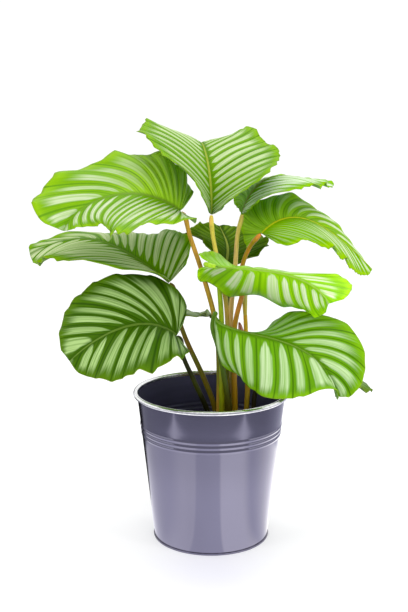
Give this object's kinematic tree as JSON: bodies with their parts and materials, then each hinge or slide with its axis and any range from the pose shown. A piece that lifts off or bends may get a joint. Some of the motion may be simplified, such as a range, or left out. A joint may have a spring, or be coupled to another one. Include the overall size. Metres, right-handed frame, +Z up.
{
  "type": "potted calathea orbifolia",
  "caption": "Prayer plant with large round leaves striped in silver and green on long stalks, growing from soil in a tapered sheet-metal pot with a rolled rim.",
  "frame": {"origin": "on the pot's axis, in its flat underside", "axes": "+Z up along the pot's axis; the plant's front, as pictured, looks towards -Y"},
  "size_m": [0.4152, 0.3373, 0.4691],
  "materials": {
    "pot_paint": "glossy grey-violet paint on sheet metal, worn bright on the rolled rim",
    "soil": "damp dark potting soil",
    "leaf": "satin green leaf with silver-green bands along its veins and a green margin",
    "stalk": "smooth olive to tan leaf stalk"
  },
  "bodies": {
    "root": {"pot_wall": "pot_paint", "pot_base": "pot_paint", "soil": "soil", "stalk_01": "stalk", "leaf_01": "leaf", "stalk_02": "stalk", "leaf_02": "leaf", "stalk_03": "stalk", "leaf_03": "leaf", "stalk_04": "stalk", "leaf_04": "leaf", "stalk_05": "stalk", "leaf_05": "leaf", "stalk_06": "stalk", "leaf_06": "leaf", "stalk_07": "stalk", "leaf_07": "leaf", "stalk_08": "stalk", "leaf_08": "leaf", "stalk_09": "stalk", "leaf_09": "leaf", "stalk_10": "stalk", "leaf_10": "leaf", "stalk_11": "stalk", "leaf_11": "leaf", "young_leaf": "stalk"}
  },
  "joints": []
}
